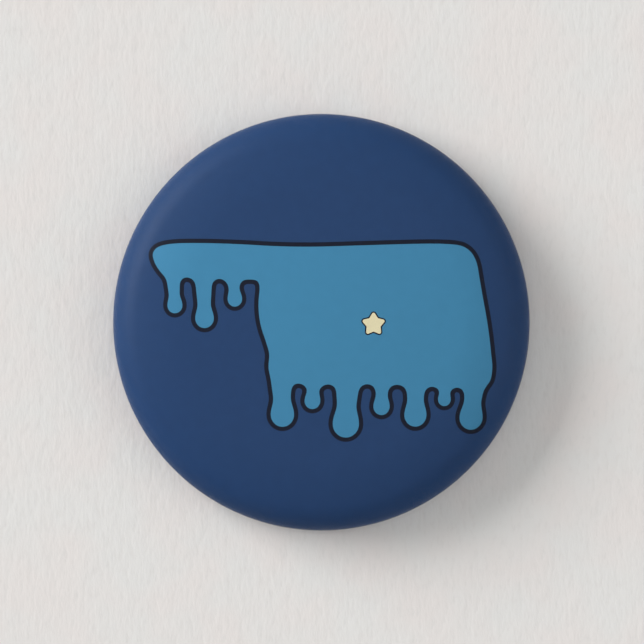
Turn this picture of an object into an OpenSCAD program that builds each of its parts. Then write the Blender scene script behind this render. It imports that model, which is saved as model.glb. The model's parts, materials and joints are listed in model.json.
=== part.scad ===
// Pin-back button badge, lying on its back with its face up.
// Millimetres. Origin: on the badge's axis, in the plane it rests on. +Z is out of the face,
// +X points along the pin from its bend to its point, +Y is the top of the face.

/* [Face] */
// Diameter over the film
badge_d = 32; // [31.8:0.1:32.2]
// Height from the plane it rests on to the middle of the face
badge_h = 5.2; // [5.1:0.1:5.6]
// Radius of curvature of the nearly flat middle
face_r = 120; // [110:5:160]
// Radius at which the middle gives way to the shoulder
flat_r = 10.8; // [10.6:0.1:11]
// Radius of curvature of the shoulder
shoulder_r = 19.5; // [19:0.5:20]
// Slope at which the shoulder gives way to the tight edge, in degrees
edge_from = 18; // [17.5:0.5:19]
// Outer radius of the curl that turns the edge under
curl_r = 1.1; // [1:0.05:1.15]

/* [Layers] */
// Thickness of the clear film
film_t = 0.1; // [0.08:0.01:0.1]
// Thickness of the printed paper
paper_t = 0.12; // [0.1:0.01:0.12]
// Thickness of the tinplate shell
shell_t = 0.26; // [0.22:0.01:0.26]
// Slack between one layer and the next
slack = 0.02; // [0.01:0.005:0.02]

/* [Back plate] */
// Thickness of the tinplate back plate
plate_t = 0.28; // [0.24:0.01:0.28]
// Height of the recessed middle's outer face above the plane of rest
recess_z = 2; // [1.9:0.05:2.05]
// Length of each strap along the wire
strap_w = 2.2; // [1.8:0.1:2.6]
// Width of the catch hook along the needle
hook_w = 1.8; // [1.4:0.1:1.9]

/* [Pin] */
// Diameter of the spring wire
wire_d = 0.7; // [0.66:0.01:0.7]
// Height of the needle's axis
needle_z = 1.05; // [1.03:0.01:1.06]
// Where the U-bend begins, along X
bend_x = -9; // [-9.2:0.1:-8.8]
// How far the anchored leg lies to the side of the needle
leg_y = 2.285; // [2.2:0.05:2.4]
// Where the anchored leg ends, along X
leg_end_x = 4; // [3.6:0.2:5]
// Where the needle starts to taper, along X
taper_x = 5.8; // [5.6:0.1:6]
// Where the needle's point is, along X
tip_x = 10.3; // [10.1:0.1:10.4]

/* [Hidden] */
$fn = 96;

R = badge_d / 2;
wr = wire_d / 2;

// depths of the layers' two faces below the outermost surface
film0 = 0;
film1 = film_t;
paper0 = film1 + slack;
paper1 = paper0 + paper_t;
shell0 = paper1 + slack;
shell1 = shell0 + shell_t;
hem_z = (shell0 + shell1) / 2;

// the three arcs of the face, from the middle outwards, meeting at p_flat and p_edge
function mil(v) = round(v * 1000) / 1000;
crease = 1.5;
a_flat = asin(flat_r / face_r);
c_face = [0, badge_h - face_r];
p_flat = [flat_r, badge_h - face_r + face_r * cos(a_flat)];
c_shoulder = p_flat - shoulder_r * [sin(a_flat + crease), cos(a_flat + crease)];
p_edge = c_shoulder + shoulder_r * [sin(edge_from - crease), cos(edge_from - crease)];
edge_r = mil((R - p_edge[0]) / (1 - sin(edge_from)));
c_edge = [R - edge_r, mil(p_edge[1] - edge_r * cos(edge_from))];

// the hem: where the shell's edge ends, and how far the tucked layers run back over it
hem_x = R - 2.45;
tuck_x = R - 1.5;

// the back plate's section
flange_x = R - 0.8;
flange_z = 2 * hem_z + slack;
rim_c = R - 3.4;
rim_r = 0.49;
corner_r = 0.16;
plate_top = recess_z + plate_t;

// the wire
leg_z = plate_top + wr + slack;
bend_c = [bend_x, leg_y / 2, (needle_z + leg_z) / 2];
bend_r = norm([leg_y, leg_z - needle_z]) / 2;
bend_tilt = atan2(leg_z - needle_z, leg_y);

// the catch
hook_x0 = tip_x - 0.3 - hook_w;
hook_x1 = tip_x - 0.3;
hook_in = 0.3;
hook_y = 0.75;
tip_r = 0.03;
needle_r_at_hook = tip_r + (wr - tip_r) * (tip_x - hook_x0) / (tip_x - taper_x);
lip_z = needle_z - needle_r_at_hook - 0.32;

// Colours
c_film = [0.85, 0.9, 0.95, 0.3];
c_paper = [0.16, 0.25, 0.4];
c_tin = [0.74, 0.75, 0.76];
c_plate = [0.7, 0.71, 0.72];
c_wire = [0.6, 0.61, 0.63];

// ---------- drawing helpers, in section: x is the radius, y is the height ----------

// a wedge about c between two directions, in degrees from straight up towards the edge
module wedge(c, reach, a0, a1) {
    am = (a0 + a1) / 2;
    polygon([c, c + reach * [sin(a0), cos(a0)], c + reach * [sin(am), cos(am)], c + reach * [sin(a1), cos(a1)]]);
}

// part of a ring about c
module arc(c, r_out, r_in, a0, a1) {
    intersection() {
        translate(c) difference() {
            circle(r = r_out);
            if (r_in > 0) circle(r = r_in);
        }
        wedge(c, 1.6 * r_out, a0, a1);
    }
}

// a rectangle from its corners
module box2(x0, y0, x1, y1) {
    translate([x0, y0]) square([x1 - x0, y1 - y0]);
}

// the section of everything that lies deeper than t below the outermost surface
module within(t) {
    intersection() {
        translate(c_face) circle(r = face_r - t);
        union() {
            box2(0, 0, p_flat[0] - t * sin(a_flat) - 0.35, 9);
            translate(c_shoulder) circle(r = shoulder_r - t);
        }
        union() {
            box2(0, curl_r, p_edge[0] - t * sin(edge_from) - 0.09, 9);
            intersection() {
                translate(c_edge) circle(r = edge_r - t);
                box2(c_edge[0], c_edge[1], R + 1, 9);
            }
            box2(0, curl_r, R - t, c_edge[1]);
            intersection() {
                translate([R - curl_r, curl_r]) circle(r = curl_r - t);
                box2(R - curl_r, -1, R + 1, curl_r);
            }
            box2(0, t, R - curl_r, curl_r);
        }
    }
}

// the section of one layer of the face, between two depths below the outermost surface
module layer(t0, t1) {
    difference() {
        within(t0);
        within(t1);
        box2(-1, -1, hem_x, 2);
    }
    arc([hem_x, hem_z], hem_z - t0, hem_z - t1, 180, 360);
}

// the same layer's end, folded back inside over the shell's hem
module tuck(t0, t1) {
    box2(hem_x, 2 * hem_z - t1, tuck_x, 2 * hem_z - t0);
}

// a plate-thick slot outline with rounded corners, seen from above
module round_rect(x0, y0, x1, y1, r) {
    box2(x0 + r, y0, x1 - r, y1);
    box2(x0, y0 + r, x1, y1 - r);
    for (x = [x0 + r, x1 - r], y = [y0 + r, y1 - r]) translate([x, y]) circle(r = r);
}

// ---------- the face ----------

// clear polyester film over the print, wrapped round the edge and tucked in
module clear_film() {
    color(c_film) rotate_extrude() {
        layer(film0, film1);
        tuck(film0, film1);
    }
}

// printed paper disc, wrapped round the edge and tucked in with the film
module printed_paper() {
    color(c_paper) rotate_extrude() {
        layer(paper0, paper1);
        tuck(paper0, paper1);
    }
}

// domed tinplate shell with its edge curled in under the back plate's flange
module front_shell() {
    color(c_tin) rotate_extrude() layer(shell0, shell1);
}

// ---------- the back plate ----------

// the plate turned as a whole: crimp flange, rolled rim, recess wall and flat middle
module plate_blank() {
    f_in = rim_c + rim_r + corner_r;
    m_in = rim_c - rim_r - corner_r;
    r0 = rim_r - plate_t;
    rotate_extrude() {
        box2(f_in, flange_z, flange_x, flange_z + plate_t);
        arc([f_in, flange_z - corner_r], corner_r + plate_t, corner_r, 270, 360);
        box2(rim_c + r0, rim_r + 0.06, rim_c + rim_r, flange_z - corner_r);
        arc([rim_c, rim_r + 0.06], rim_r, r0, 90, 270);
        box2(rim_c - rim_r, rim_r + 0.06, rim_c - r0, recess_z - corner_r);
        arc([m_in, recess_z - corner_r], corner_r + plate_t, corner_r, 0, 90);
        box2(0, recess_z, m_in, plate_top);
    }
}

// a strap lanced up over the anchored leg, drawn across the wire and centred on it
module strap() {
    ri = wr + slack;
    ro = ri + plate_t;
    rotate([90, 0, 90]) linear_extrude(strap_w, center = true) {
        intersection() {
            translate([leg_y, leg_z]) difference() {
                circle(r = ro);
                circle(r = ri);
            }
            box2(leg_y - ro, leg_z, leg_y + ro, leg_z + ro);
        }
        box2(leg_y - ro, recess_z, leg_y - ri, leg_z);
        box2(leg_y + ri, recess_z, leg_y + ro, leg_z);
    }
}

// the catch: a tab cut from the plate, turned down beside the needle and curled under its point
module hook() {
    y0 = hook_y;
    y1 = hook_y + plate_t;
    zb = lip_z + hook_in;
    up_c = [y1 + 0.2, recess_z - 0.2];
    translate([hook_x0, 0, 0]) rotate([90, 0, 90]) linear_extrude(hook_w) {
        arc(up_c, 0.2 + plate_t, 0.2, 270, 360);
        box2(y0, zb, y1, up_c[1]);
        arc([y0 - hook_in, zb], hook_in + plate_t, hook_in, 90, 180);
        box2(-0.25, lip_z - plate_t, y0 - hook_in, lip_z);
    }
}

// tinplate back plate, recessed, with a slot for the wire, two straps and the catch
module back_plate() {
    color(c_plate) {
        difference() {
            plate_blank();
            // the slot that the bend passes through
            translate([0, 0, recess_z - 1]) linear_extrude(plate_t + 2)
                round_rect(bend_x - bend_r - wr - 0.35, 0.1, bend_x + 0.5, leg_y + wr + 0.35, 0.5);
            // the windows left under the straps
            for (x = [-4.9, 1.3]) translate([x - strap_w / 2, leg_y - wr - slack, recess_z - 1])
                cube([strap_w, wire_d + 2 * slack, plate_t + 2]);
            // the window left by the catch's tab
            translate([hook_x0 - 0.2, -1.35, recess_z - 1])
                cube([hook_w + 0.4, hook_y + plate_t + 0.2 + 1.35, plate_t + 2]);
        }
        for (x = [-4.9, 1.3]) translate([x, 0, 0]) strap();
        hook();
    }
}

// ---------- the wire ----------

// the leg that lies inside the plate, held down by the straps
module pin_anchor_leg() {
    color(c_wire) translate([bend_x + 0.02, leg_y, leg_z]) rotate([0, 90, 0]) {
        cylinder(h = leg_end_x - 0.12 - bend_x - 0.02, r = wr);
        translate([0, 0, leg_end_x - 0.12 - bend_x - 0.02]) cylinder(h = 0.12, r1 = wr, r2 = wr - 0.12);
    }
}

// the U-bend that passes through the plate's slot and acts as the spring
module pin_spring_bend() {
    color(c_wire) translate(bend_c) rotate([180 + bend_tilt, 0, 0]) rotate([0, 0, 90])
        rotate_extrude(angle = 180) translate([bend_r, 0]) circle(r = wr);
}

// the needle, with its ground point under the catch
module pin_needle() {
    color(c_wire) translate([bend_x + 0.02, 0, needle_z]) rotate([0, 90, 0]) {
        cylinder(h = taper_x - bend_x - 0.02, r = wr);
        translate([0, 0, taper_x - bend_x - 0.02]) cylinder(h = tip_x - taper_x, r1 = wr, r2 = tip_r);
    }
}

clear_film();
printed_paper();
front_shell();
back_plate();
pin_anchor_leg();
pin_spring_bend();
pin_needle();
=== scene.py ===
import bpy, math, json
import numpy as np
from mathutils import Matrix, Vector
from mathutils.geometry import delaunay_2d_cdt

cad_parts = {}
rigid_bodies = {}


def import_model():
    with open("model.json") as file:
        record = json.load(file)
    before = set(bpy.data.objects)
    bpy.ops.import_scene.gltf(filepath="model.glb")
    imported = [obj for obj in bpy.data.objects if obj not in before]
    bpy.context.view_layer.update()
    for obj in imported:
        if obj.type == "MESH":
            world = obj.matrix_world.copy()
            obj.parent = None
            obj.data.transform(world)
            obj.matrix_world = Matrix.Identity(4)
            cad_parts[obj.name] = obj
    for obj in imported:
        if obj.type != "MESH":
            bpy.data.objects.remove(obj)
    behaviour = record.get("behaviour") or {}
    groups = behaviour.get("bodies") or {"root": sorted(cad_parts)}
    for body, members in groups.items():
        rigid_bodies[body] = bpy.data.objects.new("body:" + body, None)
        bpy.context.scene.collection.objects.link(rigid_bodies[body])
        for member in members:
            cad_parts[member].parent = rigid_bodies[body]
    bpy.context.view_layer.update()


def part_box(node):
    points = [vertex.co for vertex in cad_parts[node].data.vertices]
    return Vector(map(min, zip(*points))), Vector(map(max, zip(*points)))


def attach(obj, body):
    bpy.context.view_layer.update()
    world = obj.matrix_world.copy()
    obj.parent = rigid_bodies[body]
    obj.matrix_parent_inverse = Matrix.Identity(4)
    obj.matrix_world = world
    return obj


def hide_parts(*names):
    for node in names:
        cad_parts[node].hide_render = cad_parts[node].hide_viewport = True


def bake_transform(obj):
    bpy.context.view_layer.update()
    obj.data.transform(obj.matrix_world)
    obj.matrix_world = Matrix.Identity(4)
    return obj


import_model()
MM = 0.001

# ---------------------------------------------------------------- design sizes, in mm, as in the CAD
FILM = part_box("clear_film")
R = FILM[1][0] / MM                 # badge radius, 16
H = FILM[1][2] / MM                 # badge height, 5.2
FACE_R, FLAT_R, SHOULDER_R, EDGE_FROM, CREASE, CURL_R = 120.0, 10.8, 19.5, 18.0, 1.5, 1.1
FILM_T, PAPER_0, PAPER_1, SHELL_0, SHELL_1 = 0.025, 0.033, 0.24, 0.26, 0.52
HEM_Z, HEM_X, TUCK_X = 0.39, R - 2.45, R - 1.5
PLATE_T, RECESS_Z, FLANGE_X, FLANGE_Z = 0.28, 2.0, R - 0.8, 0.80
RIM_C, RIM_R, CORNER_R = R - 3.4, 0.49, 0.16
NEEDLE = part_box("pin_needle")
WR = (NEEDLE[1][1] - NEEDLE[0][1]) / MM / 2          # wire radius, 0.35
TIP_X = NEEDLE[1][0] / MM
BEND_X, LEG_Y, LEG_Z, NEEDLE_Z, TAPER_X, LEG_END = -9.0, 2.285, 2.65, 1.05, 5.8, 4.0
HOOK_X0, HOOK_X1, HOOK_Y, HOOK_IN = TIP_X - 2.1, TIP_X - 0.3, 0.75, 0.3
LIP_Z = NEEDLE_Z - (0.03 + (WR - 0.03) * (TIP_X - HOOK_X0) / (TIP_X - TAPER_X)) - 0.32
STRAPS = (-4.9, 1.3)
STRAP_W = 2.2


# ---------------------------------------------------------------- small helpers
def make_mesh(name, verts, faces, mats, mat_index=None, normals=None, smooth=True):
    """verts in mm; faces as lists; mats a list of materials; normals optional, one per vertex"""
    me = bpy.data.meshes.new(name)
    me.from_pydata([tuple(float(c) * MM for c in v) for v in verts], [], [tuple(int(i) for i in f) for f in faces])
    for m in mats:
        me.materials.append(m)
    n = len(me.polygons)
    me.polygons.foreach_set("use_smooth", [smooth] * n)
    if mat_index is not None:
        me.polygons.foreach_set("material_index", np.asarray(mat_index, np.int32))
    me.validate()
    me.update()
    if normals is not None:
        me.normals_split_custom_set_from_vertices([tuple(float(c) for c in v) for v in normals])
    ob = bpy.data.objects.new(name, me)
    bpy.context.scene.collection.objects.link(ob)
    return ob


def apply_modifiers(ob):
    dg = bpy.context.evaluated_depsgraph_get()
    me = bpy.data.meshes.new_from_object(ob.evaluated_get(dg), depsgraph=dg)
    old = ob.data
    ob.modifiers.clear()
    ob.data = me
    me.name = old.name
    return ob


def hash01(i, salt=0.0):
    """a repeatable value from 0 to 1"""
    v = math.sin(i * 12.9898 + salt * 78.233 + 4.137) * 43758.5453
    return v - math.floor(v)


# ---------------------------------------------------------------- the face's section
def face_section(step=0.02):
    """(r, z, phi, s) along the outermost surface, from the middle of the face out, round the edge, under and
    back over the shell's hem. phi is the slope of the surface, from 0 on top to 180 under and 360 folded back."""
    a1 = math.degrees(math.asin(FLAT_R / FACE_R))
    csx = FLAT_R - SHOULDER_R * math.sin(math.radians(a1 + CREASE))
    pex = csx + SHOULDER_R * math.sin(math.radians(EDGE_FROM - CREASE))
    edge_r = (R - pex) / (1 - math.sin(math.radians(EDGE_FROM)))
    rad = math.radians
    parts = [(FACE_R, 0, a1), (SHOULDER_R, a1 + CREASE, EDGE_FROM - CREASE), (edge_r, EDGE_FROM, 90.0)]
    s, phi = [], []
    at = 0.0
    for r_, p0, p1 in parts:
        n = max(4, int(r_ * rad(p1 - p0) / step))
        for k in range(n):
            s.append(at + (k + 0.5) / n * r_ * rad(p1 - p0))
            phi.append(p0 + (p1 - p0) * (k + 0.5) / n)
        at += r_ * rad(p1 - p0)
    top_end = at
    s, phi = np.array(s), np.array(phi)
    grid = np.arange(step / 2, top_end, step)
    ph = np.interp(grid, s, phi, left=0.0, right=90.0)
    # the sheet can't crease, so the slope is smoothed a little along the section
    sig = 0.22 / step
    k = np.arange(-int(4 * sig), int(4 * sig) + 1)
    w = np.exp(-0.5 * (k / sig) ** 2)
    w /= w.sum()
    pad = len(k) // 2
    ext = np.concatenate([-ph[:pad][::-1], ph, np.full(pad, 90.0)])
    ph = np.convolve(ext, w, mode="valid")
    r = np.concatenate([[0.0], np.cumsum(np.cos(np.radians(ph)) * step)])
    drop = np.concatenate([[0.0], np.cumsum(np.sin(np.radians(ph)) * step)])
    r *= R / r[-1]
    z_wall = H - drop[-1]
    slope = np.interp(np.arange(len(r)) * step, grid, ph, left=0.0, right=90.0)
    z = H - drop
    out_r, out_z, out_p = list(r), list(z), list(slope)
    out_p[-1] = 90.0
    out_r.append(R), out_z.append(CURL_R), out_p.append(90.0)
    for k in range(1, 25):
        a = 90.0 + 90.0 * k / 24
        out_r.append(R - CURL_R + CURL_R * math.sin(rad(a)))
        out_z.append(CURL_R + CURL_R * math.cos(rad(a)))
        out_p.append(a)
    for k in range(1, 8):
        out_r.append(R - CURL_R + (HEM_X - R + CURL_R) * k / 7), out_z.append(0.0), out_p.append(180.0)
    for k in range(1, 21):
        a = 180.0 + 180.0 * k / 20
        out_r.append(HEM_X + HEM_Z * math.sin(rad(a)))
        out_z.append(HEM_Z + HEM_Z * math.cos(rad(a)))
        out_p.append(a)
    out_r.append(TUCK_X), out_z.append(2 * HEM_Z), out_p.append(360.0)
    r, z, p = np.array(out_r), np.array(out_z), np.array(out_p)
    s = np.concatenate([[0], np.cumsum(np.hypot(np.diff(r), np.diff(z)))])
    return r, z, p, s


SEC_R, SEC_Z, SEC_P, SEC_S = face_section()
I_WALL = int(np.argmax(SEC_R >= R - 1e-6))        # where the section first reaches the full radius
S_WALL = SEC_S[I_WALL]


def section_at(s, t):
    """point (r, z) and normal (nr, nz) at arc length s, t below the outermost surface"""
    r, z, p = np.interp(s, SEC_S, SEC_R), np.interp(s, SEC_S, SEC_Z), np.radians(np.interp(s, SEC_S, SEC_P))
    nr, nz = np.sin(p), np.cos(p)
    return r - t * nr, z - t * nz, nr, nz


def on_dome(rr, t):
    """height and normal of the layer t below the surface, at radius rr, above the widest line"""
    s = SEC_S[: I_WALL + 1]
    r, z, nr, nz = section_at(s, t)
    return np.interp(rr, r, z), np.interp(rr, r, nr), np.interp(rr, r, nz)


# radial puckers, where the flat sheet had to be gathered to go round the edge: angle, width, depth in mm and
# the place on the section where each begins
S_CURL = S_WALL + SEC_Z[I_WALL] - CURL_R
PUCKERS = [(2 * math.pi * (k + 0.8 * hash01(k, 1.3)) / 62, 0.013 + 0.022 * hash01(k, 2.1), 0.03 + 0.06 * hash01(k, 3.7),
            S_CURL - 0.1 + 0.9 * hash01(k, 5.9)) for k in range(62)]


def pucker(theta, s):
    """depth of the puckers round the ring at arc length s; they end inside the fold"""
    out = np.zeros_like(theta)
    if s < S_WALL - 0.2 or s > SEC_S[-1] - 0.9:
        return out
    fade = min(1.0, (SEC_S[-1] - 0.9 - s) / 0.5)
    for a, w, h, s0 in PUCKERS:
        g = min(1.0, max(0.0, (s - s0) / 1.1))
        if g > 0:
            d = (theta - a + math.pi) % (2 * math.pi) - math.pi
            out = np.maximum(out, fade * g * g * (3 - 2 * g) * h * np.exp(-(d / w) ** 2))
    return out


def sheet_rings(s0, s1):
    """arc lengths of the rings of a turned sheet, closer where it bends"""
    s, out = s0, [s0]
    while s < s1 - 1e-6:
        p0 = np.interp(s, SEC_S, SEC_P)
        ds = 0.5
        while ds > 0.03 and abs(np.interp(min(s + ds, s1), SEC_S, SEC_P) - p0) > 5.0:
            ds *= 0.8
        s = min(s + ds, s1)
        out.append(s)
    return out


def turned(points, n, closed_first=None):
    """rows of (r, z) turned into n-gon rings: verts and quads. points: list of (n,) arrays r and z per ring"""
    verts, faces = [], []
    th = np.arange(n) * 2 * math.pi / n
    for r, z in points:
        rr = r if isinstance(r, np.ndarray) else np.full(n, r)
        zz = z if isinstance(z, np.ndarray) else np.full(n, z)
        verts.extend(zip(rr * np.cos(th), rr * np.sin(th), zz))
    for i in range(len(points) - 1):
        a, b = i * n, (i + 1) * n
        for k in range(n):
            k2 = (k + 1) % n
            faces.append((a + k, b + k, b + k2, a + k2))
    return verts, faces


# ---------------------------------------------------------------- materials
def new_material(name):
    m = bpy.data.materials.new(name)
    m.use_nodes = True
    nt = m.node_tree
    bsdf = nt.nodes["Principled BSDF"]
    return m, nt, bsdf


def node(nt, kind, **inputs):
    n = nt.nodes.new(kind)
    for k, v in inputs.items():
        if k in n.inputs:
            n.inputs[k].default_value = v
    return n


def object_coords(nt):
    return nt.nodes.new("ShaderNodeTexCoord").outputs["Object"]


def noise(nt, vec, scale, detail=2.0, rough=0.5, stretch=None):
    if stretch is not None:
        mp = nt.nodes.new("ShaderNodeMapping")
        mp.inputs["Scale"].default_value = stretch
        nt.links.new(vec, mp.inputs["Vector"])
        vec = mp.outputs["Vector"]
    n = nt.nodes.new("ShaderNodeTexNoise")
    n.inputs["Scale"].default_value = scale
    n.inputs["Detail"].default_value = detail
    n.inputs["Roughness"].default_value = rough
    nt.links.new(vec, n.inputs["Vector"])
    return n.outputs["Fac"]


def map_range(nt, value, a, b, c, d):
    n = nt.nodes.new("ShaderNodeMapRange")
    n.inputs["From Min"].default_value, n.inputs["From Max"].default_value = a, b
    n.inputs["To Min"].default_value, n.inputs["To Max"].default_value = c, d
    nt.links.new(value, n.inputs["Value"])
    return n.outputs["Result"]


def mix_colour(nt, fac, a, b, blend="MIX"):
    n = nt.nodes.new("ShaderNodeMix")
    n.data_type = "RGBA"
    n.blend_type = blend
    for sock, v in ((n.inputs[0], fac), (n.inputs[6], a), (n.inputs[7], b)):
        if hasattr(v, "is_linked"):
            nt.links.new(v, sock)
        else:
            sock.default_value = v if not isinstance(v, tuple) or len(v) == 4 else (*v, 1)
    return n.outputs[2]


def bump(nt, bsdf, height, strength, distance, into="Normal", after=None):
    b = nt.nodes.new("ShaderNodeBump")
    b.inputs["Strength"].default_value = strength
    b.inputs["Distance"].default_value = distance
    nt.links.new(height, b.inputs["Height"])
    if after is not None:
        nt.links.new(after, b.inputs["Normal"])
    nt.links.new(b.outputs["Normal"], bsdf.inputs[into])
    return b.outputs["Normal"]


def srgb(r, g, b):
    return tuple((v / 255 / 12.92) if v / 255 <= 0.04045 else ((v / 255 + 0.055) / 1.055) ** 2.4 for v in (r, g, b))


def ink(name, rgb, grain=0.05, dots=0.03):
    """printed ink on smooth paper: faint press mottle, a fine dot screen and the paper's tooth"""
    m, nt, b = new_material(name)
    co = object_coords(nt)
    mottle = noise(nt, co, 1400.0, 3.0, 0.6)
    fine = noise(nt, co, 14000.0, 2.0, 0.6)
    base = (*rgb, 1)
    dark = (*(c * (1 - grain) for c in rgb), 1)
    light = (*(min(1.0, c * (1 + grain)) for c in rgb), 1)
    col = mix_colour(nt, map_range(nt, mottle, 0.3, 0.7, 0, 1), dark, light)
    # a dot screen of 0.17 mm, turned 45 degrees
    mp = nt.nodes.new("ShaderNodeMapping")
    mp.inputs["Rotation"].default_value = (0, 0, math.radians(45))
    nt.links.new(co, mp.inputs["Vector"])
    vor = nt.nodes.new("ShaderNodeTexVoronoi")
    vor.voronoi_dimensions = "2D"
    vor.feature = "F1"
    vor.inputs["Scale"].default_value = 5900.0
    vor.inputs["Randomness"].default_value = 0.12
    nt.links.new(mp.outputs["Vector"], vor.inputs["Vector"])
    lighter = (*(min(1.0, c * (1 + dots) + 0.002) for c in rgb), 1)
    dot = map_range(nt, vor.outputs["Distance"], 0.25, 0.6, 0, 0.5)
    col = mix_colour(nt, dot, col, lighter)
    speck = map_range(nt, fine, 0.62, 0.78, 0, 0.35)
    col = mix_colour(nt, speck, col, light)
    nt.links.new(col, b.inputs["Base Color"])
    rough = map_range(nt, fine, 0.3, 0.7, 0.72, 0.86)
    nt.links.new(rough, b.inputs["Roughness"])
    b.inputs["Specular IOR Level"].default_value = 0.04
    bump(nt, b, fine, 0.10, 0.00001)
    return m


def tin(name, rgb, rough=(0.24, 0.36), stretch=(1.0, 14.0, 1.0), scale=900.0, blotch=0.10):
    """cold-rolled tinplate: rolling lines one way, soft blotches of tin, a few scuffs"""
    m, nt, b = new_material(name)
    co = object_coords(nt)
    lines = noise(nt, co, scale, 6.0, 0.62, stretch=stretch)
    hair = noise(nt, co, scale * 6, 3.0, 0.5, stretch=(0.35, 7.0, 0.35))
    cloud = noise(nt, co, 420.0, 3.0, 0.55)
    scuff = noise(nt, co, 1500.0, 5.0, 0.7, stretch=(6.0, 1.0, 1.0))
    a = (*(c * (1 - blotch) for c in rgb), 1)
    c = (*(min(1.0, c * (1 + blotch * 0.5)) for c in rgb), 1)
    col = mix_colour(nt, map_range(nt, cloud, 0.3, 0.7, 0, 1), a, c)
    col = mix_colour(nt, map_range(nt, hair, 0.35, 0.65, 0, 0.35), col, (*(v * 0.8 for v in rgb), 1))
    nt.links.new(col, b.inputs["Base Color"])
    b.inputs["Metallic"].default_value = 1.0
    r1 = map_range(nt, lines, 0.3, 0.7, rough[0], rough[1])
    mm = nt.nodes.new("ShaderNodeMath")
    mm.operation = "ADD"
    nt.links.new(r1, mm.inputs[0])
    nt.links.new(map_range(nt, scuff, 0.62, 0.8, 0.0, 0.14), mm.inputs[1])
    nt.links.new(mm.outputs[0], b.inputs["Roughness"])
    n1 = bump(nt, b, lines, 0.22, 0.00001)
    n2 = nt.nodes.new("ShaderNodeBump")
    n2.inputs["Strength"].default_value = 0.12
    n2.inputs["Distance"].default_value = 0.00001
    nt.links.new(hair, n2.inputs["Height"])
    nt.links.new(n1, n2.inputs["Normal"])
    nt.links.new(n2.outputs["Normal"], b.inputs["Normal"])
    return m


def steel_wire(name):
    """drawn spring wire: die lines along it and a slightly darker oiled bloom"""
    m, nt, b = new_material(name)
    co = object_coords(nt)
    die = noise(nt, co, 5200.0, 4.0, 0.6, stretch=(0.04, 1.0, 1.0))
    bloom = noise(nt, co, 700.0, 3.0, 0.5)
    col = mix_colour(nt, map_range(nt, bloom, 0.3, 0.7, 0, 1), (0.50, 0.50, 0.51, 1), (0.64, 0.64, 0.64, 1))
    col = mix_colour(nt, map_range(nt, die, 0.55, 0.8, 0, 0.4), col, (0.36, 0.36, 0.37, 1))
    nt.links.new(col, b.inputs["Base Color"])
    b.inputs["Metallic"].default_value = 1.0
    nt.links.new(map_range(nt, die, 0.3, 0.7, 0.16, 0.32), b.inputs["Roughness"])
    bump(nt, b, die, 0.3, 0.000006)
    return m


def clear_film(name):
    """thin polyester film: no colour of its own, a soft reflection that grows towards grazing angles"""
    m, nt, b = new_material(name)
    co = object_coords(nt)
    haze = noise(nt, co, 900.0, 4.0, 0.6)
    wave = noise(nt, co, 260.0, 2.0, 0.5)
    fine = noise(nt, co, 9000.0, 2.0, 0.5)
    b.inputs["Base Color"].default_value = (1, 1, 1, 1)
    b.inputs["Metallic"].default_value = 1.0
    nt.links.new(map_range(nt, haze, 0.3, 0.7, 0.51, 0.58), b.inputs["Roughness"])
    n1 = bump(nt, b, wave, 0.04, 0.00003)
    n2 = nt.nodes.new("ShaderNodeBump")
    n2.inputs["Strength"].default_value = 0.05
    n2.inputs["Distance"].default_value = 0.0000015
    nt.links.new(fine, n2.inputs["Height"])
    nt.links.new(n1, n2.inputs["Normal"])
    nt.links.new(n2.outputs["Normal"], b.inputs["Normal"])
    lw = nt.nodes.new("ShaderNodeLayerWeight")
    lw.inputs["Blend"].default_value = 0.5
    power = nt.nodes.new("ShaderNodeMath")
    power.operation = "POWER"
    power.inputs[1].default_value = 5.0
    nt.links.new(lw.outputs["Facing"], power.inputs[0])
    nt.links.new(map_range(nt, power.outputs[0], 0.0, 1.0, 0.0055, 0.125), b.inputs["Alpha"])
    return m


BLUE_FIELD = srgb(41, 65, 103)
BLUE_FILL = srgb(61, 128, 165)
LINE = srgb(9, 17, 36)
CREAM = srgb(223, 214, 176)

M_FIELD = ink("ink_deep_blue", (0.0138, 0.0460, 0.1330))
M_FILL = ink("ink_sky_blue", BLUE_FILL, grain=0.03)
M_LINE = ink("ink_outline", LINE, grain=0.08)
M_STAR = ink("ink_cream", CREAM, grain=0.02, dots=0.01)
M_PAPER = ink("bare_paper", (0.72, 0.71, 0.68), grain=0.03, dots=0.0)
M_TIN = tin("tinplate_inside", (0.62, 0.62, 0.61))
M_PLATE = tin("tinplate_back", (0.66, 0.66, 0.655))
M_WIRE = steel_wire("spring_wire")
M_FILM = clear_film("polyester_film")


# ---------------------------------------------------------------- the printed motif
# a generic run of wet paint: a long block with a short arm to the left, drips of alternating length from
# an even spacing, and one small five-pointed star. x to the right, y up, in mm from the middle of the face
def sd_segment(x, y, ax, ay, bx, by):
    dx, dy = bx - ax, by - ay
    t = np.clip(((x - ax) * dx + (y - ay) * dy) / (dx * dx + dy * dy), 0, 1)
    return np.hypot(x - ax - t * dx, y - ay - t * dy)


def sd_polygon(x, y, pts):
    d = np.full(np.shape(x), 1e9)
    inside = np.zeros(np.shape(x), bool)
    n = len(pts)
    for i in range(n):
        (ax, ay), (bx, by) = pts[i], pts[(i + 1) % n]
        d = np.minimum(d, sd_segment(x, y, ax, ay, bx, by))
        cross = (ay > y) != (by > y)
        with np.errstate(divide="ignore", invalid="ignore"):
            xi = (bx - ax) * (y - ay) / (by - ay if by != ay else 1e-12) + ax
        inside ^= cross & (x < xi)
    return np.where(inside, -d, d)


def smin(a, b, k):
    h = np.clip(0.5 + 0.5 * (b - a) / k, 0, 1)
    return b * (1 - h) + a * h - k * h * (1 - h)


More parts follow.
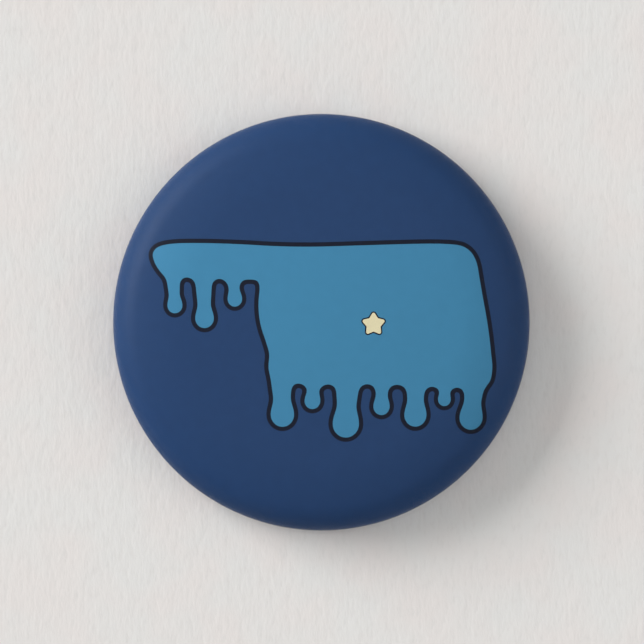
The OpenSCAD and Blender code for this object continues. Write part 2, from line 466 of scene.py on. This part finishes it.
ROUND = 0.5                      # convex corners of the block
BLOCK = [(-12.2, 4.6), (-12.4, 5.5), (-7.5, 5.5), (-2.0, 5.15), (4.0, 5.35), (9.4, 5.5), (11.2, 5.2), (11.6, 2.6),
         (12.2, -0.6), (12.5, -3.6), (12.2, -4.6), (4.0, -4.1), (-3.1, -4.3), (-3.4, -2.2), (-4.4, 0.6), (-4.0, 3.7), (-6.5, 3.75),
         (-11.6, 3.95)]
for _ in range(3):               # corner cutting, for flowing lines
    BLOCK = [((3 * ax + bx) / 4 if h else (ax + 3 * bx) / 4, (3 * ay + by) / 4 if h else (ay + 3 * by) / 4)
             for (ax, ay), (bx, by) in zip(BLOCK, BLOCK[1:] + BLOCK[:1]) for h in (1, 0)]
# drips: x at the top and at the tip, half width, y of the tip's lowest point, y of the top
DRIPS = [(-3.05, -2.95, 0.80, -7.8, -3.4), (-0.50, -0.68, 0.54, -6.5, -3.4), (2.05, 1.85, 0.90, -8.6, -3.4),
         (4.62, 4.55, 0.56, -6.95, -3.4), (7.15, 7.12, 0.76, -7.8, -3.4), (9.45, 9.32, 0.44, -6.3, -3.4), (11.75, 11.36, 0.80, -8.05, -3.4),
         (-11.3, -11.1, 0.52, 0.75, 4.3), (-8.95, -8.85, 0.64, -0.35, 4.3), (-6.75, -6.55, 0.50, 1.25, 4.3)]
STAR_AT, STAR_R = (3.95, -0.15), 0.74
LINE_W = 0.33                    # width of the drawn outline


def sd_blob(x, y):
    d = sd_polygon(x, y, BLOCK) - ROUND
    for x0, x1, hw, tip, top in DRIPS:
        # the neck narrows towards the bead, which hangs at the end
        t = np.clip((top - y) / (top - tip - hw), 0, 1)
        neck = sd_segment(x, y, x0, top, x1, tip + hw) - hw * (1.06 - 0.34 * t * t * (3 - 2 * t))
        bead = np.hypot(x - x1, (y - tip - hw) * 0.94) - hw
        d = smin(d, smin(neck, bead, 0.9 * hw), 0.7)
    return d


def sd_star(x, y):
    pts = []
    for k in range(10):
        a = math.radians(90 + 36 * k)
        r = STAR_R if k % 2 == 0 else STAR_R * 0.56
        pts.append((STAR_AT[0] + r * math.cos(a), STAR_AT[1] + r * math.sin(a)))
    return sd_polygon(x, y, pts) - 0.13


def contour(f, x0, x1, y0, y1, h, level):
    """closed polylines of f = level, by marching squares"""
    xs, ys = np.arange(x0, x1, h), np.arange(y0, y1, h)
    X, Y = np.meshgrid(xs, ys, indexing="ij")
    V = f(X, Y) - level
    V[np.abs(V) < 1e-9] = 1e-9
    pts, links = {}, {}

    def edge_point(i, j, axis):
        key = (i, j, axis)
        if key not in pts:
            a = V[i, j]
            b = V[i + 1, j] if axis == 0 else V[i, j + 1]
            t = a / (a - b)
            pts[key] = (xs[i] + (t * h if axis == 0 else 0), ys[j] + (t * h if axis == 1 else 0))
        return key

    S = V < 0
    mixed = (S[:-1, :-1] != S[1:, :-1]) | (S[:-1, :-1] != S[:-1, 1:]) | (S[:-1, :-1] != S[1:, 1:])
    for i, j in zip(*np.nonzero(mixed)):
        i, j = int(i), int(j)
        es = []
        if S[i, j] != S[i + 1, j]:
            es.append(edge_point(i, j, 0))
        if S[i + 1, j] != S[i + 1, j + 1]:
            es.append(edge_point(i + 1, j, 1))
        if S[i, j + 1] != S[i + 1, j + 1]:
            es.append(edge_point(i, j + 1, 0))
        if S[i, j] != S[i, j + 1]:
            es.append(edge_point(i, j, 1))
        for a, b in ((es[0], es[1]),) if len(es) == 2 else ((es[0], es[1]), (es[2], es[3])):
            links.setdefault(a, []).append(b)
            links.setdefault(b, []).append(a)
    loops, seen = [], set()
    for start in sorted(links):
        if start in seen:
            continue
        loop, prev, cur = [], None, start
        while cur not in seen:
            seen.add(cur)
            loop.append(pts[cur])
            nxt = [n for n in links[cur] if n != prev]
            prev, cur = cur, nxt[0]
        if len(loop) > 12:
            loops.append(np.array(loop))
    return loops


def resample(loop, spacing):
    p = np.vstack([loop, loop[:1]])
    s = np.concatenate([[0], np.cumsum(np.hypot(*np.diff(p, axis=0).T))])
    n = max(16, int(round(s[-1] / spacing)))
    t = np.arange(n) * s[-1] / n
    q = np.stack([np.interp(t, s, p[:, 0]), np.interp(t, s, p[:, 1])], 1)
    for _ in range(2):
        q = 0.25 * np.roll(q, 1, 0) + 0.5 * q + 0.25 * np.roll(q, -1, 0)
    return q


BLOB_EDGE = [resample(lp, 0.085) for lp in contour(sd_blob, -14, 14, -10, 7, 0.045, 0.0)]


def sd_line(x, y):
    """true distance from the blob's edge, so the drawn outline is equally wide all the way round"""
    x, y = np.asarray(x, float), np.asarray(y, float)
    d = sd_blob(x, y)
    near = np.abs(d) < 1.2
    px, py = x[near], y[near]
    best = np.full(px.shape, 9.0)
    for lp in BLOB_EDGE:
        q = np.roll(lp, -1, 0)
        for (ax, ay), (bx, by) in zip(lp, q):
            m = (np.abs(px - ax) < 0.7) & (np.abs(py - ay) < 0.7)
            if m.any():
                best[m] = np.minimum(best[m], sd_segment(px[m], py[m], ax, ay, bx, by))
    out = np.where(d < 0, -9.0, 9.0)
    out[near] = np.where(d[near] < 0, -best, best)
    return out


LOOPS = list(BLOB_EDGE)
for fn, level, box_, h, sp in (
    (sd_line, LINE_W, (-14, 14, -10, 7), 0.045, 0.085),
    (sd_star, 0.0, (2.5, 5.5, -1.7, 1.4), 0.012, 0.035),
    (sd_star, 0.10, (2.5, 5.5, -1.7, 1.4), 0.012, 0.035),
):
    for lp in contour(fn, box_[0], box_[1], box_[2], box_[3], h, level):
        LOOPS.append(resample(lp, sp))


# ---------------------------------------------------------------- printed paper
def build_paper():
    n = 480
    rc = 14.8
    t0, t1 = PAPER_0, PAPER_1
    pts, edges = [], []
    th = np.arange(n) * 2 * math.pi / n
    for a in th:
        pts.append((rc * math.cos(a), rc * math.sin(a)))
    edges += [(k, (k + 1) % n) for k in range(n)]
    for lp in LOOPS:
        base = len(pts)
        pts += [tuple(q) for q in lp]
        edges += [(base + k, base + (k + 1) % len(lp)) for k in range(len(lp))]
    fixed = np.array(pts)
    # rings of filling points, clear of the drawn lines
    r = 0.0
    rings = [0.0]
    while rings[-1] < rc - 0.1:
        rings.append(rings[-1] + (0.5 if rings[-1] < 12.6 else 0.2))
    extra = []
    for i, rr in enumerate(rings):
        if rr > rc - 0.1:
            continue
        m = 1 if rr == 0 else max(6, int(2 * math.pi * rr / (0.5 if rr < 12.6 else 0.33)))
        for k in range(m):
            a = 2 * math.pi * (k + 0.5 * (i % 2)) / m
            extra.append((rr * math.cos(a), rr * math.sin(a)))
    extra = np.array(extra)
    keep = []
    for e0 in range(0, len(extra), 500):
        chunk = extra[e0:e0 + 500]
        d = np.sqrt(((chunk[:, None, :] - fixed[None, :, :]) ** 2).sum(2)).min(1)
        keep.append(chunk[d > 0.11])
    pts += [tuple(q) for q in np.vstack(keep)]
    v2, _, tri, *_ = delaunay_2d_cdt([Vector(p) for p in pts], edges, [], 0, 1e-7)
    v2 = np.array([(v.x, v.y) for v in v2])
    rr = np.hypot(v2[:, 0], v2[:, 1])
    z, nr, nz = on_dome(np.minimum(rr, rc), t0)
    verts = [(x, y, h) for (x, y), h in zip(v2, z)]
    u = v2 / np.maximum(rr, 1e-9)[:, None]
    normals = [(a * c, b * c, d) for (a, b), c, d in zip(u, nr, nz)]
    faces, mat = [], []
    tri = [t for t in tri if len(t) == 3]
    cen = np.array([v2[list(t)].mean(0) for t in tri])
    keep_t = np.hypot(cen[:, 0], cen[:, 1]) < rc
    blob, line, star = (f(cen[:, 0], cen[:, 1]) for f in (sd_blob, sd_line, sd_star))
    for t, ok, b, w, s in zip(tri, keep_t, blob, line, star):
        if not ok:
            continue
        p = v2[list(t)]
        area = (p[1][0] - p[0][0]) * (p[2][1] - p[0][1]) - (p[2][0] - p[0][0]) * (p[1][1] - p[0][1])
        faces.append(tuple(t) if area > 0 else (t[0], t[2], t[1]))
        mat.append(3 if s < 0 else 2 if s < 0.10 else 1 if b < 0 else 2 if w < LINE_W else 0)
    # the vertices on the disc's edge, in order of angle
    rim = [i for i in range(len(v2)) if abs(rr[i] - rc) < 1e-4]
    rim.sort(key=lambda i: math.atan2(v2[i][1], v2[i][0]) % (2 * math.pi))
    assert len(rim) == n, (len(rim), n)
    if abs((math.atan2(v2[rim[0]][1], v2[rim[0]][0]) + 1e-6) % (2 * math.pi)) > 1e-3:
        rim = rim[-1:] + rim[:-1]
    # the rest of the printed side: edge, wall, curl, hem and fold
    s_rc = float(np.interp(rc, section_at(SEC_S[: I_WALL + 1], t0)[0], SEC_S[: I_WALL + 1]))
    ss = sheet_rings(s_rc, SEC_S[-1])[1:]
    prev = rim
    for s in ss:
        r_, z_, nr_, nz_ = section_at(s, t0)
        d = pucker(th, s)
        base = len(verts)
        rr_, zz_ = r_ - d * nr_, z_ - d * nz_
        for k in range(n):
            verts.append((rr_[k] * math.cos(th[k]), rr_[k] * math.sin(th[k]), zz_[k]))
            normals.append((nr_ * math.cos(th[k]), nr_ * math.sin(th[k]), nz_))
        cur = list(range(base, base + n))
        for k in range(n):
            faces.append((prev[k], cur[k], cur[(k + 1) % n], prev[(k + 1) % n]))
            mat.append(0)
        prev = cur
    # the unprinted inner side, back to the middle
    inner = sheet_rings(0.0, SEC_S[-1])[::-1]
    for s in inner[:-1]:
        r_, z_, nr_, nz_ = section_at(s, t1)
        base = len(verts)
        for k in range(n):
            verts.append((r_ * math.cos(th[k]), r_ * math.sin(th[k]), z_))
            normals.append((-nr_ * math.cos(th[k]), -nr_ * math.sin(th[k]), -nz_))
        cur = list(range(base, base + n))
        for k in range(n):
            faces.append((prev[k], cur[k], cur[(k + 1) % n], prev[(k + 1) % n]))
            mat.append(4)
        prev = cur
    r_, z_, *_ = section_at(0.0, t1)
    verts.append((0, 0, z_))
    normals.append((0, 0, -1))
    c = len(verts) - 1
    for k in range(n):
        faces.append((prev[k], c, prev[(k + 1) % n]))
        mat.append(4)
    ob = make_mesh("printed_face_paper", verts, faces, [M_FIELD, M_FILL, M_LINE, M_STAR, M_PAPER], mat)
    # smooth normals on the dome from its true slope; elsewhere from the faces, so the puckers show
    me = ob.data
    nv = len(v2)
    vn = np.array([v.normal[:] for v in me.vertices])
    true_n = np.array(normals)
    vn[:nv] = true_n[:nv]
    me.normals_split_custom_set_from_vertices([tuple(v) for v in vn])
    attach(ob, "badge")
    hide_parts("printed_paper")
    return ob


# ---------------------------------------------------------------- clear film
def build_film():
    n = 480
    th = np.arange(n) * 2 * math.pi / n
    rows = []
    outer = sheet_rings(0.0, SEC_S[-1])
    for s in outer[1:]:
        r_, z_, nr_, nz_ = section_at(s, 0.0)
        d = pucker(th, s)
        rows.append((r_ - d * nr_, z_ - d * nz_))
    for s in outer[:0:-1]:
        r_, z_, nr_, nz_ = section_at(s, FILM_T)
        d = pucker(th, s)
        rows.append((r_ - d * nr_, z_ - d * nz_))
    verts, faces = turned(rows, n)
    top = len(verts)
    verts.append((0, 0, float(section_at(0.0, 0.0)[1])))
    bot = len(verts)
    verts.append((0, 0, float(section_at(0.0, FILM_T)[1])))
    last = (len(rows) - 1) * n
    for k in range(n):
        faces.append((top, k, (k + 1) % n))
        faces.append((last + k, bot, last + (k + 1) % n))
    ob = make_mesh("clear_cover_film", verts, faces, [M_FILM])
    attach(ob, "badge")
    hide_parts("clear_film")
    return ob


# ---------------------------------------------------------------- back plate
def outline_round_rect(x0, y0, x1, y1, r, step=0.15):
    pts = []
    for cx, cy, a0 in ((x1 - r, y1 - r, 0), (x0 + r, y1 - r, 90), (x0 + r, y0 + r, 180), (x1 - r, y0 + r, 270)):
        for k in range(7):
            a = math.radians(a0 + 90 * k / 6)
            pts.append((cx + r * math.cos(a), cy + r * math.sin(a)))
    return pts


def densify(pts, step):
    out = []
    for i, p in enumerate(pts):
        q = pts[(i + 1) % len(pts)]
        m = max(1, int(math.ceil(math.dist(p, q) / step)))
        out += [(p[0] + (q[0] - p[0]) * k / m, p[1] + (q[1] - p[1]) * k / m) for k in range(m)]
    return out


def in_poly(x, y, pts):
    c = False
    for i in range(len(pts)):
        (ax, ay), (bx, by) = pts[i], pts[(i + 1) % len(pts)]
        if (ay > y) != (by > y) and x < (bx - ax) * (y - ay) / (by - ay) + ax:
            c = not c
    return c


def build_plate():
    """The sheet's middle surface: turned rim, flat middle with its windows, and the tabs that grow from the
    windows' edges. It is then given the sheet's thickness and its sheared edges are broken."""
    n = 320
    zm = RECESS_Z + PLATE_T / 2
    r_disc = 11.4
    cols = 8
    hx = [HOOK_X0 + (HOOK_X1 - HOOK_X0) * k / cols for k in range(cols + 1)]
    hinge_y = HOOK_Y + PLATE_T + 0.2
    foot = 0.71
    holes, tabs = [], []
    # the slot that the wire passes through
    bend_r = math.hypot(LEG_Y, LEG_Z - NEEDLE_Z) / 2
    holes.append(densify(outline_round_rect(BEND_X - bend_r - WR - 0.35, 0.1, BEND_X + 0.5, LEG_Y + WR + 0.35, 0.5), 0.3))
    # the catch's window: its far edge is the hinge line of the tab, with a relief notch on each side
    w0, w1 = HOOK_X0 - 0.2, HOOK_X1 + 0.2
    win = [(w0, -1.35 + 0.15), (w0 + 0.15, -1.35), (w1 - 0.15, -1.35), (w1, -1.35 + 0.15), (w1, hinge_y + 0.12), (w1 - 0.05, hinge_y + 0.17),
           (HOOK_X1 + 0.05, hinge_y + 0.17), (HOOK_X1, hinge_y + 0.12)] + [(x, hinge_y) for x in hx[::-1]] + [
           (HOOK_X0, hinge_y + 0.12), (HOOK_X0 - 0.05, hinge_y + 0.17), (w0 + 0.05, hinge_y + 0.17), (w0, hinge_y + 0.12)]
    # the notch corners either side repeat the hinge line's ends, so they are left out there
    win = [p for i, p in enumerate(win) if i == 0 or math.dist(p, win[i - 1]) > 1e-6]
    holes.append(win)
    scols = 8
    sx = {c: [c - STRAP_W / 2 + STRAP_W * k / scols for k in range(scols + 1)] for c in STRAPS}
    for c in STRAPS:
        lo, hi = LEG_Y - foot, LEG_Y + foot
        holes.append([(x, lo) for x in sx[c]] + [(sx[c][-1] + 0.0, lo + (hi - lo) * k / 6) for k in range(1, 6)] +
                     [(x, hi) for x in sx[c][::-1]] + [(sx[c][0], hi - (hi - lo) * k / 6) for k in range(1, 6)])
    pts, edges = [], []
    th = np.arange(n) * 2 * math.pi / n
    pts += [(r_disc * math.cos(a), r_disc * math.sin(a)) for a in th]
    edges += [(k, (k + 1) % n) for k in range(n)]
    for h in holes:
        base = len(pts)
        pts += h
        edges += [(base + k, base + (k + 1) % len(h)) for k in range(len(h))]
    fixed = np.array(pts)
    extra = []
    g = 0.75
    for i in range(-16, 17):
        for j in range(-16, 17):
            x, y = i * g + (j % 2) * g / 2, j * g * 0.87
            if math.hypot(x, y) < r_disc - 0.35:
                extra.append((x, y))
    extra = np.array(extra)
    d = np.sqrt(((extra[:, None, :] - fixed[None, :, :]) ** 2).sum(2)).min(1)
    pts += [tuple(p) for p in extra[d > 0.25]]
    v2, _, tri, *_ = delaunay_2d_cdt([Vector(p) for p in pts], edges, [], 0, 1e-7)
    v2 = [(v.x, v.y) for v in v2]
    verts = [(x, y, zm) for x, y in v2]
    faces = []
    for t in tri:
        cx, cy = sum(v2[i][0] for i in t) / 3, sum(v2[i][1] for i in t) / 3
        if math.hypot(cx, cy) > r_disc or any(in_poly(cx, cy, h) for h in holes):
            continue
        p = [v2[i] for i in t]
        area = (p[1][0] - p[0][0]) * (p[2][1] - p[0][1]) - (p[2][0] - p[0][0]) * (p[1][1] - p[0][1])
        faces.append(tuple(t) if area > 0 else tuple(t)[::-1])

    def find(x, y):
        return min(range(len(v2)), key=lambda i: (v2[i][0] - x) ** 2 + (v2[i][1] - y) ** 2)

    rim = [i for i in range(len(v2)) if abs(math.hypot(*v2[i]) - r_disc) < 1e-4]
    rim.sort(key=lambda i: (math.atan2(v2[i][1], v2[i][0]) + 1e-6) % (2 * math.pi))
    assert len(rim) == n
    # the turned part: flat, corner, recess wall, rolled rim, corner, flange
    m_in, f_in = RIM_C - RIM_R - CORNER_R, RIM_C + RIM_R + CORNER_R
    mid, cm, rm = PLATE_T / 2, CORNER_R + PLATE_T / 2, RIM_R - PLATE_T / 2
    path = [(m_in - 0.25, zm), (m_in, zm)]
    path += [(m_in + cm * math.sin(math.radians(a)), zm - cm + cm * math.cos(math.radians(a))) for a in range(10, 91, 10)]
    path += [(RIM_C - rm, z) for z in (1.4, 1.0, 0.7)]
    path += [(RIM_C + rm * math.sin(math.radians(a)), 0.55 + rm * math.cos(math.radians(a))) for a in range(270, 89, -10)]
    path += [(f_in + cm * math.sin(math.radians(a)), FLANGE_Z - CORNER_R + cm * math.cos(math.radians(a))) for a in range(-90, 1, 10)]
    path += [(f_in + (FLANGE_X - f_in) * k / 4, FLANGE_Z + mid) for k in range(1, 5)]
    path = [p for i, p in enumerate(path) if i == 0 or math.dist(p, path[i - 1]) > 1e-3]
    prev = rim
    for r_, z_ in path:
        base = len(verts)
        for a in th:
            verts.append((r_ * math.cos(a), r_ * math.sin(a), z_))
        cur = list(range(base, base + n))
        for k in range(n):
            faces.append((prev[k], cur[k], cur[(k + 1) % n], prev[(k + 1) % n]))
        prev = cur

    def strip(start_ids, rows, end_ids=None, flip=False):
        prev = start_ids
        for j, row in enumerate(rows):
            if end_ids is not None and j == len(rows) - 1:
                cur = end_ids
            else:
                base = len(verts)
                verts.extend(row)
                cur = list(range(base, base + len(row)))
            for k in range(len(prev) - 1):
                f = (prev[k], cur[k], cur[k + 1], prev[k + 1])
                faces.append(f[::-1] if flip else f)
            prev = cur

    # the catch: down beside the needle and curled under it, its end narrowed
    rows = []
    bm = 0.2 + PLATE_T / 2
    for a in range(10, 91, 10):
        y = hinge_y - bm * math.sin(math.radians(a))
        z = zm - bm + bm * math.cos(math.radians(a))
        rows.append((y, z))
    zb = LIP_Z + HOOK_IN
    y_mid = hinge_y - bm
    z_top = zm - bm
    for k in range(1, 4):
        rows.append((y_mid, z_top + (zb - z_top) * k / 3))
    cmid = HOOK_IN + PLATE_T / 2
    for a in range(10, 91, 10):
        rows.append((y_mid - cmid + cmid * math.cos(math.radians(a)), zb - cmid * math.sin(math.radians(a))))
    y_l = y_mid - cmid
    for k in range(1, 6):
        rows.append((y_l + (-0.25 - y_l) * k / 5, LIP_Z - PLATE_T / 2))
    grid = []
    for i, (y, z) in enumerate(rows):
        f = i / (len(rows) - 1)
        narrow = 1.0 - 0.10 * max(0.0, (f - 0.75) / 0.25) ** 2
        mx = (HOOK_X0 + HOOK_X1) / 2
        grid.append([(mx + (x - mx) * narrow, y, z) for x in hx])
    strip([find(x, hinge_y) for x in hx], grid)
    # the straps over the anchored leg
    for c in STRAPS:
        lo, hi = LEG_Y - foot, LEG_Y + foot
        ar = WR + 0.02 + PLATE_T / 2
        br = foot - ar
        prof = []
        for a in range(15, 91, 15):
            prof.append((lo + br * math.sin(math.radians(a)), zm + br - br * math.cos(math.radians(a))))
        prof.append((lo + br, LEG_Z - 0.05))
        for a in range(0, 181, 12):
            prof.append((LEG_Y - ar * math.cos(math.radians(a)), LEG_Z + ar * math.sin(math.radians(a))))
        prof.append((hi - br, LEG_Z - 0.05))
        for a in range(90, -1, -15):
            prof.append((hi - br * math.sin(math.radians(a)), zm + br - br * math.cos(math.radians(a))))
        prof = [p for i, p in enumerate(prof) if i == 0 or math.dist(p, prof[i - 1]) > 1e-3]
        grid = [[(x, y, z) for x in sx[c]] for y, z in prof]
        strip([find(x, lo) for x in sx[c]], grid, [find(x, hi) for x in sx[c]], flip=True)
    used = sorted({i for f in faces for i in f})
    new = {o: i for i, o in enumerate(used)}
    ob = make_mesh("tin_back_plate", [verts[i] for i in used], [[new[i] for i in f] for f in faces], [M_PLATE])
    sol = ob.modifiers.new("sheet", "SOLIDIFY")
    sol.thickness = PLATE_T * MM
    sol.offset = 0.0
    sol.use_even_offset = True
    sol.use_quality_normals = True
    bev = ob.modifiers.new("sheared_edges", "BEVEL")
    bev.width = 0.035 * MM
    bev.segments = 2
    bev.limit_method = "ANGLE"
    bev.angle_limit = math.radians(50)
    apply_modifiers(ob)
    me = ob.data
    me.polygons.foreach_set("use_smooth", [True] * len(me.polygons))
    me.set_sharp_from_angle(angle=math.radians(24))
    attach(ob, "badge")
    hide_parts("back_plate")
    return ob


# ---------------------------------------------------------------- the wire
def build_wire():
    n = 28
    bend_r = math.hypot(LEG_Y, LEG_Z - NEEDLE_Z) / 2
    c = np.array([BEND_X, LEG_Y / 2, (LEG_Z + NEEDLE_Z) / 2])
    e1 = np.array([0, LEG_Y / 2, (LEG_Z - NEEDLE_Z) / 2]) / bend_r        # from the middle to the anchored leg
    stations = []                                                         # centre, direction, radius
    X = np.array([1.0, 0, 0])
    end = np.array([LEG_END, LEG_Y, LEG_Z])
    for d, r in ((0.0, 0.02), (0.0, WR - 0.13), (0.05, WR - 0.05), (0.13, WR)):
        stations.append((end - X * d, -X, r))
    x = LEG_END - 0.13
    steps = 26
    for k in range(1, steps):
        stations.append((np.array([x + (BEND_X - x) * k / steps, LEG_Y, LEG_Z]), -X, WR))
    for k in range(0, 49):
        a = math.pi * k / 48
        p = c + bend_r * (math.cos(a) * e1 - math.sin(a) * X)
        d = -math.sin(a) * e1 - math.cos(a) * X
        stations.append((p, d, WR))
    steps = 30
    for k in range(1, steps + 1):
        stations.append((np.array([BEND_X + (TAPER_X - BEND_X) * k / steps, 0, NEEDLE_Z]), X, WR))
    # the ground point: a long taper that steepens slightly at the very end
    L = TIP_X - TAPER_X
    for k in range(1, 27):
        f = k / 26
        f = 1 - (1 - f) ** 1.25
        rr = WR * (1 - f) ** 0.92 + 0.012
        stations.append((np.array([TAPER_X + L * f * 0.9985, 0, NEEDLE_Z]), X, min(WR, rr)))
    stations.append((np.array([TIP_X, 0, NEEDLE_Z]), X, 0.004))
    verts, faces = [], []
    side = np.cross(e1, X)                                                # across the bend's plane
    for p, d, r in stations:
        d = d / np.linalg.norm(d)
        v = side / np.linalg.norm(side)
        u = np.cross(v, d)
        for k in range(n):
            a = 2 * math.pi * k / n
            verts.append(p + r * (math.cos(a) * u + math.sin(a) * v))
    m = len(stations)
    for i in range(m - 1):
        for k in range(n):
            k2 = (k + 1) % n
            faces.append((i * n + k, (i + 1) * n + k, (i + 1) * n + k2, i * n + k2))
    faces.append(tuple(range(n)))
    faces.append(tuple((m - 1) * n + k for k in range(n))[::-1])
    ob = make_mesh("lock_pin_wire", verts, faces, [M_WIRE])
    me = ob.data
    vol = sum(Vector(me.vertices[p.vertices[0]].co).dot(p.normal) * p.area for p in me.polygons)
    if vol < 0:
        me.flip_normals()
    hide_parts("pin_anchor_leg", "pin_spring_bend", "pin_needle")
    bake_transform(ob)
    return ob


build_paper()
build_film()
build_plate()
build_wire()

# the shell keeps its CAD shape, hidden between the paper and the plate
shell_done = False
for ob in bpy.context.scene.objects:
    if ob.type == "MESH" and ob.name.split(".")[0] == "front_shell":
        for sl in ob.material_slots:
            sl.material = M_TIN
        shell_done = len(ob.material_slots) > 0
assert shell_done

# ---------------------------------------------------------------- floor, light, camera
def floor_material():
    m, nt, b = new_material("studio_floor")
    co = object_coords(nt)
    laid = noise(nt, co, 2700.0, 3.0, 0.55, stretch=(1.0, 0.34, 1.0))
    broad = noise(nt, co, 900.0, 2.0, 0.5, stretch=(1.0, 0.5, 1.0))
    cloud = noise(nt, co, 170.0, 2.0, 0.5)
    warm, cool = (0.765, 0.730, 0.708, 1), (0.749, 0.740, 0.722, 1)
    col = mix_colour(nt, map_range(nt, cloud, 0.38, 0.62, 0, 1), warm, cool)
    col = mix_colour(nt, map_range(nt, laid, 0.30, 0.48, 0.5, 0), col, (0.70, 0.68, 0.66, 1))
    nt.links.new(col, b.inputs["Base Color"])
    b.inputs["Roughness"].default_value = 0.9
    b.inputs["Specular IOR Level"].default_value = 0.1
    n1 = bump(nt, b, broad, 0.35, 0.00010)
    bump(nt, b, laid, 0.55, 0.00005, after=n1)
    return m


bpy.ops.mesh.primitive_plane_add(size=3.0, location=(0, 0, -0.03 * MM))
floor = bpy.context.object
floor.name = "studio_floor"
floor.data.materials.append(floor_material())

cam_data = bpy.data.cameras.new("camera")
cam_data.lens = 200
cam_data.sensor_width = 36
cam_data.clip_start = 0.01
cam = bpy.data.objects.new("camera", cam_data)
PX = 208.65 / R                                 # image px per mm at the badge's widest line
dist = 644 / PX * cam_data.lens / 36
cam.location = ((322 - 321.4) / PX * MM, -(322 - 322.2) / PX * MM, dist * MM + 1.4 * MM)
bpy.context.scene.collection.objects.link(cam)
bpy.context.scene.camera = cam


def area(name, size, power, az, el, distance, colour=(1, 1, 1)):
    """az is measured from +X towards +Y, el above the floor"""
    ld = bpy.data.lights.new(name, "AREA")
    ld.shape = "RECTANGLE"
    ld.size, ld.size_y = size
    ld.energy = power
    ld.color = colour
    ob = bpy.data.objects.new(name, ld)
    a, e = math.radians(az), math.radians(el)
    ob.location = (distance * math.cos(e) * math.cos(a), distance * math.cos(e) * math.sin(a), distance * math.sin(e))
    d = -Vector(ob.location)
    ob.rotation_euler = d.to_track_quat("-Z", "Y").to_euler()
    bpy.context.scene.collection.objects.link(ob)
    return ob


area("key", (1.80, 1.05), 64.8, 153, 24.0, 2.40)
area("fill", (1.80, 1.80), 10.2, -2, 38, 2.40)
area("top", (1.20, 1.20), 8.6, 0, 90, 2.70)
world = bpy.data.worlds.new("studio")
bpy.context.scene.world = world
world.use_nodes = True
# a plain pale room, a little brighter low down where its walls meet the floor
wt = world.node_tree
direction = wt.nodes.new("ShaderNodeTexCoord").outputs["Generated"]
split = wt.nodes.new("ShaderNodeSeparateXYZ")
wt.links.new(direction, split.inputs["Vector"])
wt.links.new(map_range(wt, split.outputs["Z"], 0.04, 0.12, 0.50, 0.374), wt.nodes["Background"].inputs["Strength"])
wt.nodes["Background"].inputs["Color"].default_value = (1.0, 1.0, 1.0, 1)
bpy.context.scene.view_settings.view_transform = "Standard"
